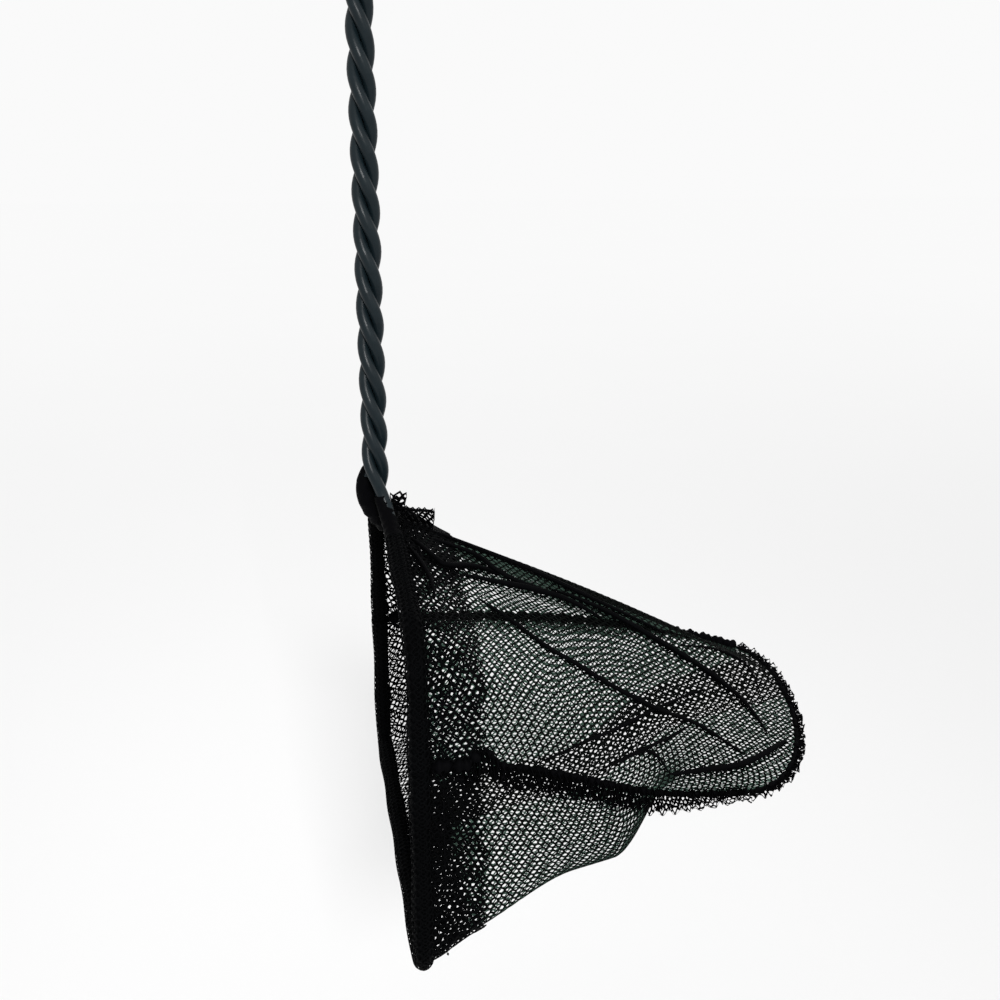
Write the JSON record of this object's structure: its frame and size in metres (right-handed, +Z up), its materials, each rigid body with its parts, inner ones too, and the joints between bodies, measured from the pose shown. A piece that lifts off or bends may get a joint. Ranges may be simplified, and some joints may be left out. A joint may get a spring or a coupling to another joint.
{
  "type": "aquarium fish net",
  "caption": "Hand net for an aquarium: a twisted coated-wire handle with a hanging eye, a bent wire frame and a soft knitted bag sewn round the frame.",
  "frame": {"origin": "on the handle's axis at the foot of its twist, where the strands open out into the frame", "axes": "+Z up the handle, +X along the bag away from the frame, -Y to the frame's near side"},
  "size_m": [0.1267, 0.13, 0.3507],
  "materials": {
    "steel_wire": "plain steel",
    "vinyl_coat": "glossy charcoal vinyl",
    "net": "black knitted nylon",
    "hem_net": "doubled black knitted nylon",
    "thread": "black sewing thread"
  },
  "bodies": {
    "root": {"frame_loop_core": "steel_wire", "frame_loop_coat": "vinyl_coat", "near_strand_core": "steel_wire", "near_strand_coat": "vinyl_coat", "far_strand_core": "steel_wire", "far_strand_coat": "vinyl_coat", "return_strand_core": "steel_wire", "return_strand_coat": "vinyl_coat", "hanging_eye_core": "steel_wire", "hanging_eye_coat": "vinyl_coat", "near_hem_channel": "hem_net", "far_hem_channel": "hem_net", "lower_hem_channel": "hem_net", "upper_net_panel": "net", "lower_net_panel": "net", "upper_hem": "hem_net", "lower_hem": "hem_net", "upper_hem_stitching": "thread", "lower_hem_stitching": "thread", "near_side_seam": "thread", "far_side_seam": "thread", "tail_seam": "thread"}
  },
  "joints": []
}
